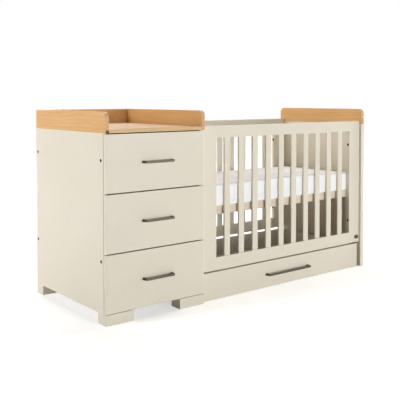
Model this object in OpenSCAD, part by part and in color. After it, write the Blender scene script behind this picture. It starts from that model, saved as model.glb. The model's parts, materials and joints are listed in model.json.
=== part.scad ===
// Crib with an attached changer: a chest with three drawers carries an oak changing tray, the crib is
// bolted between the chest and an end panel, and a long drawer on castors runs under the crib.
// Millimetres. X runs along the front, Y to the back, Z up from the floor.

/* [Mattress and crib inside] */
// Length of the mattress
mattress_l = 1200; // [1100:10:1400]
// Width of the mattress
mattress_w = 600; // [550:10:700]
// Height of the mattress at its edge
mattress_t = 92; // [70:1:110]
// Rise of the mattress from its edge to its middle
mattress_crown = 9; // [4:1:14]
// Radius of the upper and lower edges of the mattress
mattress_edge_r = 12; // [8:1:20]
// Radius of the mattress corners seen from above
mattress_corner_r = 38; // [25:1:60]
// How far the mattress sides are drawn in between the corners
mattress_draw = 2; // [0:0.5:6]
// Room at each end of the mattress
mattress_end_gap = 6.5; // [5:0.5:12]
// Room at each side of the mattress
mattress_side_gap = 5; // [4:0.5:10]

/* [Chest] */
// Width of the chest
chest_w = 560; // [480:10:700]
// Height from the floor to the top of the carcass
carcass_top = 860; // [760:5:900]
// Thickness of the carcass boards
board_t = 18; // [16:1:22]
// How far the carcass reaches behind the rear crib frame
chest_rear_margin = 26; // [15:1:60]
// Thickness of the hardboard back
back_t = 5; // [3:1:6]
// Distance from the hardboard back to the rear edge of the carcass
back_inset = 8; // [5:1:14]
// Depth of the grooves that hold thin boards
groove_d = 6; // [4:1:8]
// Depth of the flat rails that tie the carcass together at the top
top_rail_d = 80; // [60:5:120]
// Distance from the front edges of the carcass to the front top rail
top_rail_setback = 14; // [0:1:30]

/* [Feet] */
// Height of the block feet
foot_h = 50; // [35:1:70]
// Width of each foot
foot_w = 150; // [100:5:180]
// Depth of each foot
foot_d = 70; // [50:5:110]
// Radius of the outer upright corner of a front foot
foot_r = 5; // [2:1:10]

/* [Chest drawers] */
// Thickness of a drawer front
front_t = 16; // [14:1:20]
// Gap between a closed drawer front and the carcass
front_gap = 2; // [1:0.5:4]
// Gap between two drawer fronts
front_reveal = 5; // [2:0.5:7]
// Gap between the lowest front and the feet
low_reveal = 2; // [1:0.5:5]
// Gap between the top front and the tray
top_reveal = 4.5; // [1:0.5:6]
// How far a front stays short of each carcass side
side_reveal = 1; // [0:0.5:3]
// Radius of the upright edges of a drawer front
front_edge_r = 5; // [2:0.5:8]
// Height of a drawer box
box_h = 180; // [120:5:190]
// Height of the box above the lower edge of its front
box_lift = 36; // [20:1:50]
// Thickness of the box sides and back
box_t = 12; // [10:1:16]
// Thickness of the box bottom
box_floor_t = 4; // [3:1:5]
// Height of the bottom panel above the lower edge of the box
box_floor_lift = 12; // [8:1:20]
// Length of the drawer slides and of the box
slide_l = 500; // [400:10:550]
// Space between the carcass and the box for a slide
slide_gap = 12.5; // [12:0.5:14]
// Height of the slide profile
slide_h = 45; // [35:1:50]
// Wall of the slide profiles
slide_wall = 1.5; // [1:0.1:2]

/* [Handles] */
// Distance between the two legs of a chest handle
pull_pitch = 160; // [96:16:256]
// Distance between the two legs of the long handle
long_pull_pitch = 320; // [224:16:480]
// How far a handle stands out
handle_proj = 30; // [24:1:40]
// Height of the handle section
pull_h = 11; // [8:1:14]
// Thickness of the handle bar
pull_bar_t = 7; // [5:0.5:9]
// Width of a handle leg where it meets the front
pull_leg_w = 12; // [10:1:14]
// Width of a handle leg where it meets the bar
pull_leg_top_w = 9; // [7:1:12]
// How far each leg leans inwards from the front to the bar
pull_lean = 6; // [2:0.5:8]
// Outer radius of the handle corners
pull_r = 6; // [3:0.5:8]
// Radius of the screws that hold the handles
pull_screw_r = 2; // [1.5:0.1:2.2]

/* [Changing tray] */
// Height of the oak tray sides
tray_h = 95; // [70:5:130]
// Thickness of the oak boards
tray_t = 18; // [15:1:22]
// How far the tray stands in front of the drawer fronts
tray_proud = 3; // [1:0.5:12]
// How far the tray ends short of the rear edge of the carcass
tray_rear_inset = 3; // [0:0.5:10]
// Radius of the top front corners of the tray sides
tray_top_r = 24; // [12:1:36]
// Radius of the lower front corners of the tray sides
tray_low_r = 8; // [4:1:18]
// Height of the notch in the lower front end of the left tray side
tray_notch_h = 13; // [8:1:16]
// Depth of this notch
tray_notch_d = 32; // [20:1:50]
// Thickness of the wood left outside this notch
tray_notch_skin = 3; // [2:0.5:6]

/* [Crib frames] */
// Thickness of the crib frames
rail_t = 23; // [20:1:30]
// How far the crib frames rise above the carcass of the chest
crib_rise = 17; // [0:1:60]
// Height of the top rails
top_rail_h = 60; // [50:1:80]
// Height from the floor to the lower edge of the crib frames
crib_low = 148; // [142:1:170]
// Height of the bottom rails
low_rail_h = 65; // [50:1:80]
// Width of the stiles
stile_w = 92; // [70:1:110]
// Number of slats in each frame
slat_count = 10; // [9:1:12]
// Width of a slat
slat_w = 38; // [30:1:45]
// Thickness of a slat
slat_t = 12; // [10:1:16]
// Radius of the slat edges
slat_r = 3; // [1:0.5:4.5]
// Depth of the mortises for the slats
tenon_l = 10; // [6:1:14]

/* [End panel] */
// Thickness of the end panel and its cap
end_t = 27; // [22:1:32]
// How far the end panel stands past the crib frames at the front and back
end_overhang = 13; // [6:1:25]
// Height of the oak cap
cap_h = 90; // [60:5:130]
// Radius of the upper corners of the cap
cap_r = 30; // [15:1:45]

/* [Bolts, inserts and dowels] */
// Height of the lower bolts
bolt_z_low = 285; // [230:1:380]
// Height of the upper bolts
bolt_z_high = 738; // [600:1:780]
// Distance from the exposed inserts to the carcass edges
insert_edge = 20.5; // [15:0.5:40]
// Radius of a bolt shank
bolt_r = 3; // [2.5:0.1:3.2]
// Radius of a bolt head
bolt_head_r = 7.25; // [6.5:0.25:8]
// Height of a bolt head
bolt_head_h = 5; // [4:0.5:6]
// Distance across the hexagon socket of a bolt
socket_w = 5; // [4:0.5:6]
// Depth of this socket
socket_d = 3; // [2:0.5:3.5]
// Depth of the recess that takes a bolt head
bolt_recess = 6; // [6:0.5:14]
// Radius of the thread in an insert
thread_r = 2.5; // [2:0.05:2.6]
// Outer radius of an insert
insert_r = 4.75; // [4.2:0.05:5]
// Length of an insert
insert_l = 14; // [10:1:15]
// Radius of the flange of an exposed insert
flange_r = 7.5; // [6.5:0.25:9]
// Thickness of this flange
flange_t = 1.5; // [1:0.25:2.5]
// Radius of the wood dowels
dowel_r = 4; // [3:0.5:5]
// Length of the wood dowels
dowel_l = 32; // [24:2:36]
// Distance from the dowels of the chest bottom to its front and back
dowel_inset = 60; // [40:5:90]
// Distance from the dowels of a top rail to its edges
rail_dowel_inset = 20; // [12:1:30]
// Width of the plain oval button on the front stile
button_w = 34; // [20:1:40]
// Height of the plain oval button
button_h = 24; // [16:1:30]
// Thickness of the plain oval button
button_t = 3; // [2:0.5:5]

/* [Mattress base] */
// Height from the floor to the top of the mattress base
base_top = 468; // [400:1:520]
// Height of the base frame
base_h = 43; // [35:1:55]
// Thickness of the base frame
base_t = 22; // [18:1:28]
// Room between the base and the two ends of the crib
base_end_gap = 3; // [2:0.5:6]
// Number of base slats
base_slat_count = 12; // [8:1:14]
// Width of a base slat
base_slat_w = 60; // [40:1:68]
// Thickness of a base slat
base_slat_t = 8; // [6:1:12]
// Width of the rebate that carries the base slats
base_rebate = 11; // [8:1:14]
// Thickness of the steel brackets under the base
bracket_t = 2.5; // [2:0.1:4]
// Length of a bracket
bracket_l = 40; // [30:1:60]
// Height of the upright leg of a bracket
bracket_h = 44; // [30:1:60]
// Depth of the ledge of a bracket
bracket_d = 24; // [18:1:32]
// Radius of the countersunk screws that hold the brackets
bracket_screw_r = 2.5; // [2:0.1:3]
// Length of these screws in the stile
bracket_screw_l = 17; // [12:1:18]

/* [Long drawer] */
// Thickness of the long drawer front
long_front_t = 18; // [15:1:22]
// Height of the lower edge of the long front above the floor
long_front_low = 3; // [2:0.5:10]
// Gap between the long front and the crib frame
long_reveal = 7.5; // [3:0.5:10]
// Gap between the long front and the chest
long_left_gap = 3; // [2:0.5:10]
// Gap between the long front and the end panel
long_right_gap = 15; // [8:1:30]
// How far the box ends behind the ends of its front
long_box_inset = 12; // [8:1:30]
// Thickness of the sides and back of the long box
long_box_t = 15; // [12:1:18]
// Height of the lower edge of the long box above the floor
long_box_low = 12; // [8:1:20]
// Height of the long box
long_box_h = 126; // [100:1:127]
// Gap between the long box and the rear crib frame
long_rear_gap = 6; // [4:1:40]
// Thickness of the floor of the long box
long_floor_t = 6; // [4:1:8]
// Height of the floor of the long box above the room's floor
long_floor_z = 38; // [36:1:50]

/* [Castors] */
// Radius of a castor wheel
wheel_r = 15; // [12:0.5:16]
// Width of a castor wheel
wheel_w = 14; // [10:1:20]
// Radius of a castor axle
axle_r = 3; // [2:0.1:4]
// Wall of a castor bracket
fork_t = 2; // [1.5:0.1:3]
// Width of a castor's top plate along the drawer
plate_w = 44; // [36:1:60]
// Distance from a castor to the box side
castor_side_inset = 60; // [40:1:120]
// Distance from a castor to the box front and back
castor_end_inset = 60; // [40:1:120]

/* [Clearances] */
// Clearance of a seated piece in its slot
seat = 0.3; // [0.2:0.05:0.4]
// Running clearance of a wheel on its axle
run_fit = 0.05; // [0.02:0.01:0.09]

/* [Hidden] */
$fn = 48;
eps = 0.01;

PAINT = [0.86, 0.83, 0.75];
OAK = [0.80, 0.62, 0.40];
PINE = [0.85, 0.74, 0.58];
BOARD = [0.90, 0.88, 0.84];
STEEL = [0.72, 0.72, 0.74];
PEWTER = [0.38, 0.35, 0.32];
DARK = [0.16, 0.15, 0.14];
CLOTH = [0.96, 0.96, 0.95];

// places along the depth, counted from the plane of the drawer fronts
case_y = front_t + front_gap;
rear_frame_y = case_y + rail_t + mattress_w + 2 * mattress_side_gap;
chest_d = rear_frame_y + rail_t + chest_rear_margin;
case_d = chest_d - case_y;
back_y = chest_d - back_inset - back_t;
end_y = case_y - end_overhang;
end_d = rear_frame_y + rail_t + end_overhang - end_y;

// places along the length, counted from the left face of the chest
end_x = chest_w + mattress_l + 2 * mattress_end_gap;
total_w = end_x + end_t;
inner_l = end_x - chest_w;

// chest drawers
front_h = (carcass_top - foot_h - low_reveal - top_reveal - 2 * front_reveal) / 3;
front_z = [for (i = [0 : 2]) foot_h + low_reveal + i * (front_h + front_reveal)];
box_x = board_t + slide_gap;
box_w = chest_w - 2 * box_x;
box_in_w = box_w - 2 * box_t;
box_rear_y = front_t + slide_l;
slide_y = case_y + front_gap;

front_rail_y = case_y + top_rail_setback;

// crib frames
crib_top = carcass_top + crib_rise;
open_l = inner_l - 2 * stile_w;
slat_gap = (open_l - slat_count * slat_w) / (slat_count + 1);
slat_x = [for (i = [0 : slat_count - 1]) chest_w + stile_w + slat_gap + i * (slat_w + slat_gap)];
slat_low = crib_low + low_rail_h;
slat_high = crib_top - top_rail_h;
frame_ys = [case_y, rear_frame_y];
bolt_zs = [bolt_z_low, bolt_z_high];
bolt_ys = [for (y = frame_ys) y + rail_t / 2];
exposed_insert_ys = [case_y + insert_edge, chest_d - insert_edge];
tenon_w = slat_w - 2 * slat_r;
tenon_t = slat_t - 4;
button_x = end_x - stile_w * 0.28;
button_z = crib_low + low_rail_h / 2;

// mattress base
base_x = chest_w + base_end_gap;
base_l = inner_l - 2 * base_end_gap;
base_side_gap = bracket_t + seat;
base_y = case_y + rail_t + base_side_gap;
base_w = rear_frame_y - base_side_gap - base_y;
base_z = base_top - base_h;
base_field = base_l - 2 * base_t;
base_slat_gap = (base_field - base_slat_count * base_slat_w) / (base_slat_count + 1);
bracket_inset = (stile_w - bracket_l) / 2;
bracket_xs = [chest_w + bracket_inset, end_x - bracket_inset - bracket_l];
mattress_x = chest_w + mattress_end_gap;
mattress_y = case_y + rail_t + mattress_side_gap;

// long drawer
long_x = chest_w + long_left_gap;
long_w = inner_l - long_left_gap - long_right_gap;
long_front_h = crib_low - long_reveal - long_front_low;
long_box_x = long_x + long_box_inset;
long_box_w = long_w - 2 * long_box_inset;
long_box_y = case_y + long_front_t;
long_box_d = rear_frame_y - long_rear_gap - long_box_y;
fork_in_w = wheel_w + 2;
fork_w = fork_in_w + 2 * fork_t;
castor_xs = [long_box_x + long_box_t + castor_side_inset,
             long_box_x + long_box_w - long_box_t - castor_side_inset];
castor_ys = [long_box_y + castor_end_inset, long_box_y + long_box_d - castor_end_inset];

// dowels: [x, y, z] of the middle of each one
bottom_dowel_ys = [case_y + dowel_inset, case_y + case_d / 2, back_y - dowel_inset];
rail_dowel_ys = [front_rail_y + rail_dowel_inset, front_rail_y + top_rail_d - rail_dowel_inset,
                 back_y - top_rail_d + rail_dowel_inset, back_y - rail_dowel_inset];
carcass_dowels = [for (x = [board_t, chest_w - board_t])
    for (p = concat([for (y = bottom_dowel_ys) [y, foot_h + board_t / 2]],
                    [for (y = rail_dowel_ys) [y, carcass_top - board_t / 2]]))
        [x, p[0], p[1]]];
frame_dowels = [for (x = [chest_w + stile_w, end_x - stile_w]) for (y = bolt_ys)
    for (z = [crib_top - top_rail_h * 0.75, crib_top - top_rail_h * 0.25,
              crib_low + low_rail_h * 0.25, crib_low + low_rail_h * 0.75])
        [x, y, z]];
cap_dowels = [for (i = [0 : 3]) [end_x + end_t / 2, end_y + end_d * (0.11 + 0.26 * i), carcass_top]];
// a dowel in an 18 mm board goes in by less than the board's thickness
carcass_dowel_in = board_t - 6;

// the origin is on the floor, under the middle of the whole piece with its handles
module place() translate([-total_w / 2, -(chest_d - handle_proj) / 2, 0]) children();

// ---- shared shapes ----

// cylinders along the three axes, from a start point
module rod_x(p, r, l) translate(p) rotate([0, 90, 0]) cylinder(r = r, h = l);
module rod_y(p, r, l) translate(p) rotate([-90, 0, 0]) cylinder(r = r, h = l);
module rod_z(p, r, l) translate(p) cylinder(r = r, h = l);

// rectangle whose corners at y = 0 have the radius r
module front_rounded(w, d, r) {
    translate([0, r]) square([w, d - r]);
    translate([r, 0]) square([w - 2 * r, d]);
    for (x = [r, w - r]) translate([x, r]) circle(r);
}

// rectangle with the radius r at all four corners
module rounded(w, d, r) {
    translate([0, r]) square([w, d - 2 * r]);
    translate([r, 0]) square([w - 2 * r, d]);
    for (x = [r, w - r]) for (y = [r, d - r]) translate([x, y]) circle(r);
}

// a profile drawn in Y and Z, with the thickness t along X
module upright(t) rotate([90, 0, 90]) linear_extrude(t) children();

// a profile drawn in X and Z, with the length l along Y
module lengthwise(l) translate([0, l, 0]) rotate([90, 0, 0]) linear_extrude(l) children();

module dowels_x(points, grow, l) for (p = points) rod_x([p[0] - l / 2, p[1], p[2]], dowel_r + grow, l);
module carcass_dowels_x(grow, extra) {
    for (p = carcass_dowels) {
        into = p[0] < chest_w / 2 ? carcass_dowel_in : dowel_l - carcass_dowel_in;
        rod_x([p[0] - into - extra, p[1], p[2]], dowel_r + grow, dowel_l + 2 * extra);
    }
}
module cap_dowels_z(grow, extra) for (p = cap_dowels)
    rod_z([p[0], p[1], p[2] - dowel_l / 2 - extra], dowel_r + grow, dowel_l + 2 * extra);

// outline of a bow on the line y = 0: feet at +-foot, corners at +-top and y = -depth with the radius r
module bow(foot, top, depth, r) {
    a = atan2(foot - top, depth);
    t = r * tan((90 - a) / 2);
    polygon([[-foot, 0], [-top - t * sin(a), -depth + t * cos(a)], [-top + t, -depth],
             [top - t, -depth], [top + t * sin(a), -depth + t * cos(a)], [foot, 0]]);
    for (s = [-1, 1]) translate([s * (top - t), -depth + r]) circle(r);
}

// bow handle on the plane y = 0, centred in x and z, with its screws in a front of thickness t
module pull(pitch, t) {
    foot = (pitch + pull_leg_w) / 2;
    top = foot - pull_lean;
    screw_in = handle_proj - pull_bar_t - 8;
    head_h = 2.4;
    difference() {
        translate([0, 0, -pull_h / 2]) linear_extrude(pull_h) difference() {
            bow(foot, top, handle_proj, pull_r);
            bow(foot - pull_leg_w, top - pull_leg_top_w, handle_proj - pull_bar_t, pull_r / 2);
        }
        for (s = [-1, 1]) rod_y([s * pitch / 2, -screw_in - 1, 0], pull_screw_r + eps * 3, screw_in + 2);
    }
    for (s = [-1, 1]) {
        rod_y([s * pitch / 2, -screw_in, 0], pull_screw_r, screw_in + t);
        rod_y([s * pitch / 2, t, 0], pull_screw_r * 2, head_h);
    }
}
module pull_bores(pitch, t) for (s = [-1, 1])
    rod_y([s * pitch / 2, -eps, 0], pull_screw_r + seat, t + 2 * eps);

// ---- chest carcass ----

module side_blank() translate([0, case_y, foot_h]) cube([board_t, case_d, carcass_top - foot_h]);

module back_groove() translate([board_t - groove_d, back_y - seat / 2, foot_h - eps])
    cube([chest_w - 2 * (board_t - groove_d), back_t + seat, carcass_top - foot_h + 2 * eps]);

module chest_left_side() place() color(PAINT) difference() {
    side_blank();
    back_groove();
    carcass_dowels_x(0.1, 0.5);
    exposed_inserts(insert_r + 0.02, insert_l);
    exposed_inserts(flange_r + 0.02, flange_t);
}

module chest_right_side() place() color(PAINT) difference() {
    translate([chest_w - board_t, 0, 0]) side_blank();
    back_groove();
    carcass_dowels_x(0.1, 0.5);
    for (y = bolt_ys) for (z = bolt_zs) rod_x([chest_w - insert_l, y, z], insert_r + 0.02, insert_l + 1);
}

module chest_back() place() color(BOARD) translate([board_t - groove_d + seat, back_y, foot_h])
    cube([chest_w - 2 * (board_t - groove_d + seat), back_t, carcass_top - foot_h]);

module chest_bottom() place() color(BOARD) difference() {
    translate([board_t, case_y, foot_h]) cube([chest_w - 2 * board_t, back_y - seat - case_y, board_t]);
    carcass_dowels_x(0.1, 0.5);
}

module chest_top_rails() place() color(BOARD) difference() {
    for (y = [front_rail_y, back_y - seat - top_rail_d])
        translate([board_t, y, carcass_top - board_t]) cube([chest_w - 2 * board_t, top_rail_d, board_t]);
    carcass_dowels_x(0.1, 0.5);
    for (p = tray_screw_points()) rod_z([p[0], p[1], carcass_top - board_t - eps], 2 + seat, board_t + 1);
}

module front_feet() place() color(PAINT) for (s = [0, 1])
    translate([s * chest_w, 0, 0]) mirror([s, 0, 0]) linear_extrude(foot_h) {
        translate([foot_r, 0]) square([foot_w - foot_r, foot_d]);
        translate([0, foot_r]) square([foot_w, foot_d - foot_r]);
        translate([foot_r, foot_r]) circle(foot_r);
    }

module rear_feet() place() color(PAINT) for (x = [0, chest_w - foot_w])
    translate([x, chest_d - foot_d, 0]) cube([foot_w, foot_d, foot_h]);

// ---- drawer slides: a channel on the carcass holds a channel on the box ----

function slide_z(i) = front_z[i] + box_lift + box_h / 2;

module slide_pair(i) for (s = [0, 1]) translate([s * chest_w, slide_y, slide_z(i)]) mirror([s, 0, 0])
    lengthwise(slide_l - front_gap) children();

module outer_channel() difference() {
    translate([board_t, -slide_h / 2]) square([slide_gap - slide_wall - 1, slide_h]);
    translate([board_t + slide_wall, -slide_h / 2 + slide_wall])
        square([slide_gap, slide_h - 2 * slide_wall]);
}

module inner_channel() {
    h = slide_h - 2 * (slide_wall + seat);
    difference() {
        translate([board_t + slide_wall + 1, -h / 2]) square([slide_gap - slide_wall - 1, h]);
        translate([board_t + slide_wall, -h / 2 + slide_wall])
            square([slide_gap - 2 * slide_wall, h - 2 * slide_wall]);
    }
}

module drawer_slide_channels() place() color(STEEL) for (i = [0 : 2]) slide_pair(i) outer_channel();

// ---- chest drawers: i is 0 for the bottom one ----

module drawer_front(i) place() color(PAINT) difference() {
    translate([side_reveal, 0, front_z[i]]) linear_extrude(front_h)
        front_rounded(chest_w - 2 * side_reveal, front_t, front_edge_r);
    translate([box_x + box_t - groove_d, front_t - groove_d, front_z[i] + box_lift + box_floor_lift])
        cube([box_in_w + 2 * groove_d, groove_d + eps, box_floor_t + seat]);
    translate([chest_w / 2, 0, front_z[i] + front_h / 2]) pull_bores(pull_pitch, front_t);
}

module drawer_sides(i) place() color(BOARD) for (s = [0, 1])
    translate([s * chest_w, 0, 0]) mirror([s, 0, 0]) difference() {
        translate([box_x, front_t, front_z[i] + box_lift]) cube([box_t, slide_l, box_h]);
        translate([box_x + box_t - groove_d, front_t - eps, front_z[i] + box_lift + box_floor_lift])
            cube([groove_d + eps, slide_l + 2 * eps, box_floor_t + seat]);
    }

module drawer_back(i) place() color(BOARD)
    translate([box_x + box_t, box_rear_y - box_t, front_z[i] + box_lift + box_floor_lift + box_floor_t])
        cube([box_in_w, box_t, box_h - box_floor_lift - box_floor_t - 8]);

module drawer_floor(i) place() color(BOARD)
    translate([box_x + box_t - groove_d + seat, front_t - groove_d + seat,
               front_z[i] + box_lift + box_floor_lift])
        cube([box_in_w + 2 * (groove_d - seat), slide_l + groove_d - seat, box_floor_t]);

module drawer_handle(i) place() color(PEWTER)
    translate([chest_w / 2, 0, front_z[i] + front_h / 2]) pull(pull_pitch, front_t);

module drawer_runners(i) place() color(STEEL) slide_pair(i) inner_channel();

module bottom_drawer_front() drawer_front(0);
module bottom_drawer_sides() drawer_sides(0);
module bottom_drawer_back() drawer_back(0);
module bottom_drawer_floor() drawer_floor(0);
module bottom_drawer_handle() drawer_handle(0);
module bottom_drawer_runners() drawer_runners(0);
module middle_drawer_front() drawer_front(1);
module middle_drawer_sides() drawer_sides(1);
module middle_drawer_back() drawer_back(1);
module middle_drawer_floor() drawer_floor(1);
module middle_drawer_handle() drawer_handle(1);
module middle_drawer_runners() drawer_runners(1);
module top_drawer_front() drawer_front(2);
module top_drawer_sides() drawer_sides(2);
module top_drawer_back() drawer_back(2);
module top_drawer_floor() drawer_floor(2);
module top_drawer_handle() drawer_handle(2);
module top_drawer_runners() drawer_runners(2);

// ---- changing tray ----

tray_d = chest_d - tray_rear_inset + tray_proud;
tray_back_y = chest_d - tray_rear_inset - tray_t;
function tray_screw_points() = [for (x = [board_t + 60, chest_w - board_t - 60])
    for (y = [front_rail_y + top_rail_d / 2, back_y - top_rail_d / 2]) [x, y]];

// outline in Y and Z with rounded front corners
module tray_side_outline() difference() {
    square([tray_d, tray_h]);
    translate([0, tray_h - tray_top_r]) difference() {
        translate([-1, 0]) square([tray_top_r + 1, tray_top_r + 1]);
        translate([tray_top_r, 0]) circle(tray_top_r);
    }
    difference() {
        translate([-1, -1]) square([tray_low_r + 1, tray_low_r + 1]);
        translate([tray_low_r, tray_low_r]) circle(tray_low_r);
    }
}

// the notch at its lower front end is open towards the front and the tray base
module changer_left_side() place() color(OAK) translate([0, -tray_proud, carcass_top]) difference() {
    upright(tray_t) tray_side_outline();
    translate([tray_notch_skin, -1, -1]) cube([tray_t, tray_notch_d + 1, tray_notch_h + 1]);
}

module changer_right_side() place() color(OAK)
    translate([chest_w - tray_t, -tray_proud, carcass_top]) upright(tray_t) tray_side_outline();

module changer_back() place() color(OAK)
    translate([tray_t, tray_back_y, carcass_top]) cube([chest_w - 2 * tray_t, tray_t, tray_h]);

module changer_base() place() color(OAK) difference() {
    translate([tray_t, -tray_proud, carcass_top])
        cube([chest_w - 2 * tray_t, tray_back_y + tray_proud, tray_t]);
    for (p = tray_screw_points()) rod_z([p[0], p[1], carcass_top - 1], 2 + eps * 3, tray_t - 4);
}

module changer_screws() place() color(STEEL) for (p = tray_screw_points()) {
    rod_z([p[0], p[1], carcass_top - board_t], 2, board_t + tray_t - 6);
    rod_z([p[0], p[1], carcass_top - board_t - 2.4], 4, 2.4);
}

// ---- crib frames ----

module top_rail(y) place() color(PAINT) difference() {
    translate([chest_w + stile_w, y, slat_high]) cube([open_l, rail_t, top_rail_h]);
    for (x = slat_x) translate([x, 0, 0]) mortise(y, slat_high - eps);
    dowels_x(frame_dowels, 0.1, dowel_l + 1);
}

module low_rail(y) place() color(PAINT) difference() {
    translate([chest_w + stile_w, y, crib_low]) cube([open_l, rail_t, low_rail_h]);
    for (x = slat_x) translate([x, 0, 0]) mortise(y, slat_low - tenon_l - seat);
    dowels_x(frame_dowels, 0.1, dowel_l + 1);
}

module mortise(y, z) translate([slat_r - seat / 2, y + (rail_t - tenon_t - seat) / 2, z])
    cube([tenon_w + seat, tenon_t + seat, tenon_l + seat + eps]);

module stiles(y) place() color(PAINT) for (x = [chest_w, end_x - stile_w]) difference() {
    translate([x, y, crib_low]) cube([stile_w, rail_t, crib_top - crib_low]);
    dowels_x(frame_dowels, 0.1, dowel_l + 1);
    for (z = bolt_zs) {
        rod_x([x - 1, y + rail_t / 2, z], bolt_r + seat, stile_w + 2);
        head_x = x == chest_w ? x + stile_w - bolt_recess : x - 1;
        rod_x([head_x, y + rail_t / 2, z], bolt_head_r + 0.5, bolt_recess + 1);
    }
    each_bracket() bracket_screws(0.1, 0);
}

module slats(y) place() color(PAINT) for (x = slat_x) translate([x, y + (rail_t - slat_t) / 2, 0]) {
    translate([0, 0, slat_low]) linear_extrude(slat_high - slat_low) rounded(slat_w, slat_t, slat_r);
    translate([slat_r, (slat_t - tenon_t) / 2, slat_low - tenon_l])
        cube([tenon_w, tenon_t, slat_high - slat_low + 2 * tenon_l]);
}

module crib_front_top_rail() top_rail(case_y);
module crib_front_bottom_rail() low_rail(case_y);
module crib_front_stiles() stiles(case_y);
module crib_front_slats() slats(case_y);
module crib_rear_top_rail() top_rail(rear_frame_y);
module crib_rear_bottom_rail() low_rail(rear_frame_y);
module crib_rear_stiles() stiles(rear_frame_y);
module crib_rear_slats() slats(rear_frame_y);

// ---- end panel ----

module end_panel() place() color(PAINT) difference() {
    translate([end_x, end_y, 0]) cube([end_t, end_d, carcass_top]);
    cap_dowels_z(0.1, 0.5);
    for (y = bolt_ys) for (z = bolt_zs) rod_x([end_x - 1, y, z], insert_r + 0.02, insert_l + 1);
}

module end_panel_cap() place() color(OAK) difference() {
    translate([end_x, end_y, carcass_top]) upright(end_t) difference() {
        square([end_d, cap_h]);
        for (s = [0, 1]) translate([s * end_d, cap_h - cap_r]) mirror([s, 0]) difference() {
            translate([-1, 0]) square([cap_r + 1, cap_r + 1]);
            translate([cap_r, 0]) circle(cap_r);
        }
    }
    cap_dowels_z(0.1, 0.5);
}

// ---- dowels, bolts and inserts ----

module wood_dowels() place() color(PINE) {
    carcass_dowels_x(0, 0);
    dowels_x(frame_dowels, 0, dowel_l);
    cap_dowels_z(0, 0);
}

// one bolt through a stile, with the back of its flat head at x = 0 and its tip towards +X
module bolt() {
    shank_l = stile_w - bolt_recess;
    rod_x([0, 0, 0], bolt_r, shank_l);
    difference() {
        rod_x([-bolt_head_h, 0, 0], bolt_head_r, bolt_head_h);
        translate([-bolt_head_h - eps, 0, 0]) upright(socket_d + eps) circle(socket_w / sqrt(3), $fn = 6);
    }
    rod_x([shank_l - eps, 0, 0], thread_r - 0.05, insert_l - 2);
}

module crib_bolts() place() color(DARK) {
    for (y = bolt_ys) for (z = bolt_zs) {
        translate([end_x - stile_w + bolt_recess, y, z]) bolt();
        translate([chest_w + stile_w - bolt_recess, y, z]) mirror([1, 0, 0]) bolt();
    }
    each_bracket() bracket_screws(0, 0);
}

module exposed_inserts(r, l) for (y = exposed_insert_ys) for (z = bolt_zs) rod_x([-eps, y, z], r, l + eps);

module insert_bore() rod_x([-1, 0, 0], thread_r, insert_l + 2);

module insert_ring() difference() {
    rod_x([0, 0, 0], insert_r, insert_l);
    insert_bore();
}

module flanged_insert() difference() {
    union() {
        rod_x([0, 0, 0], insert_r, insert_l);
        rod_x([0, 0, 0], flange_r, flange_t);
    }
    insert_bore();
}

module threaded_inserts() place() color(DARK) {
    for (y = exposed_insert_ys) for (z = bolt_zs) translate([0, y, z]) flanged_insert();
    for (x = [chest_w - insert_l, end_x]) for (y = bolt_ys) for (z = bolt_zs)
        translate([x, y, z]) insert_ring();
}

// plain oval button, low on the right front stile
module stile_button() place() color(STEEL) translate([button_x, case_y, button_z]) rotate([90, 0, 0])
    linear_extrude(button_t) {
        square([button_w - button_h, button_h], center = true);
        for (s = [-1, 1]) translate([s * (button_w - button_h) / 2, 0]) circle(button_h / 2);
    }

// ---- mattress base ----

module mattress_base_frame() place() color(PINE) {
    for (s = [0, 1]) translate([base_x, base_y + s * base_w, base_z]) mirror([0, s, 0]) difference() {
        cube([base_l, base_t, base_h]);
        translate([-eps, base_t - base_rebate, base_h - base_slat_t])
            cube([base_l + 2 * eps, base_rebate + eps, base_slat_t + eps]);
    }
    for (x = [base_x, base_x + base_l - base_t]) translate([x, base_y + base_t - base_rebate, base_z])
        cube([base_t, base_w - 2 * (base_t - base_rebate), base_h - base_slat_t]);
}

module mattress_base_slats() place() color(PINE) for (i = [0 : base_slat_count - 1])
    translate([base_x + base_t + base_slat_gap + i * (base_slat_w + base_slat_gap),
               base_y + base_t - base_rebate + seat, base_top - base_slat_t])
        cube([base_slat_w, base_w - 2 * (base_t - base_rebate + seat), base_slat_t]);

module each_bracket() for (s = [0, 1]) for (x = bracket_xs)
    translate([x, s * (case_y + rail_t + rear_frame_y), 0]) mirror([0, s, 0])
        translate([0, case_y + rail_t, base_z - bracket_t]) children();

// two countersunk screws: their heads are flush with the bracket, their tips are in the stile
module bracket_screws(grow, past) for (u = [0.25, 0.75]) translate([bracket_l * u, 0, bracket_h * 0.6]) {
    r = bracket_screw_r + grow;
    rod_y([0, -bracket_screw_l - grow, 0], r, bracket_screw_l + grow + eps);
    rotate([-90, 0, 0]) cylinder(r1 = r, r2 = r + bracket_screw_r, h = bracket_t + past);
}

module mattress_base_brackets() place() color(STEEL) each_bracket() difference() {
    upright(bracket_l) {
        square([bracket_t, bracket_h]);
        square([bracket_d, bracket_t]);
    }
    bracket_screws(0.1, eps);
}

// ---- mattress: rings of points, each a rounded rectangle with drawn-in sides ----

mattress_edge = [[0, 1], [1 / 3, 1 / 4], [1, 0]];
mattress_rings = concat(
    [[mattress_w * 0.4, 0]],
    [for (k = [2 : -1 : 0]) mattress_edge_r * mattress_edge[k]],
    [[mattress_draw / 2, mattress_t / 2]],
    [for (p = mattress_edge) [mattress_edge_r * p[0], mattress_t - mattress_edge_r * p[1]]],
    [[mattress_w * 0.1, mattress_t + mattress_crown * 0.45],
     [mattress_w * 0.22, mattress_t + mattress_crown * 0.8],
     [mattress_w * 0.4, mattress_t + mattress_crown]]);
arc_steps = 6;
side_steps = 8;
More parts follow.
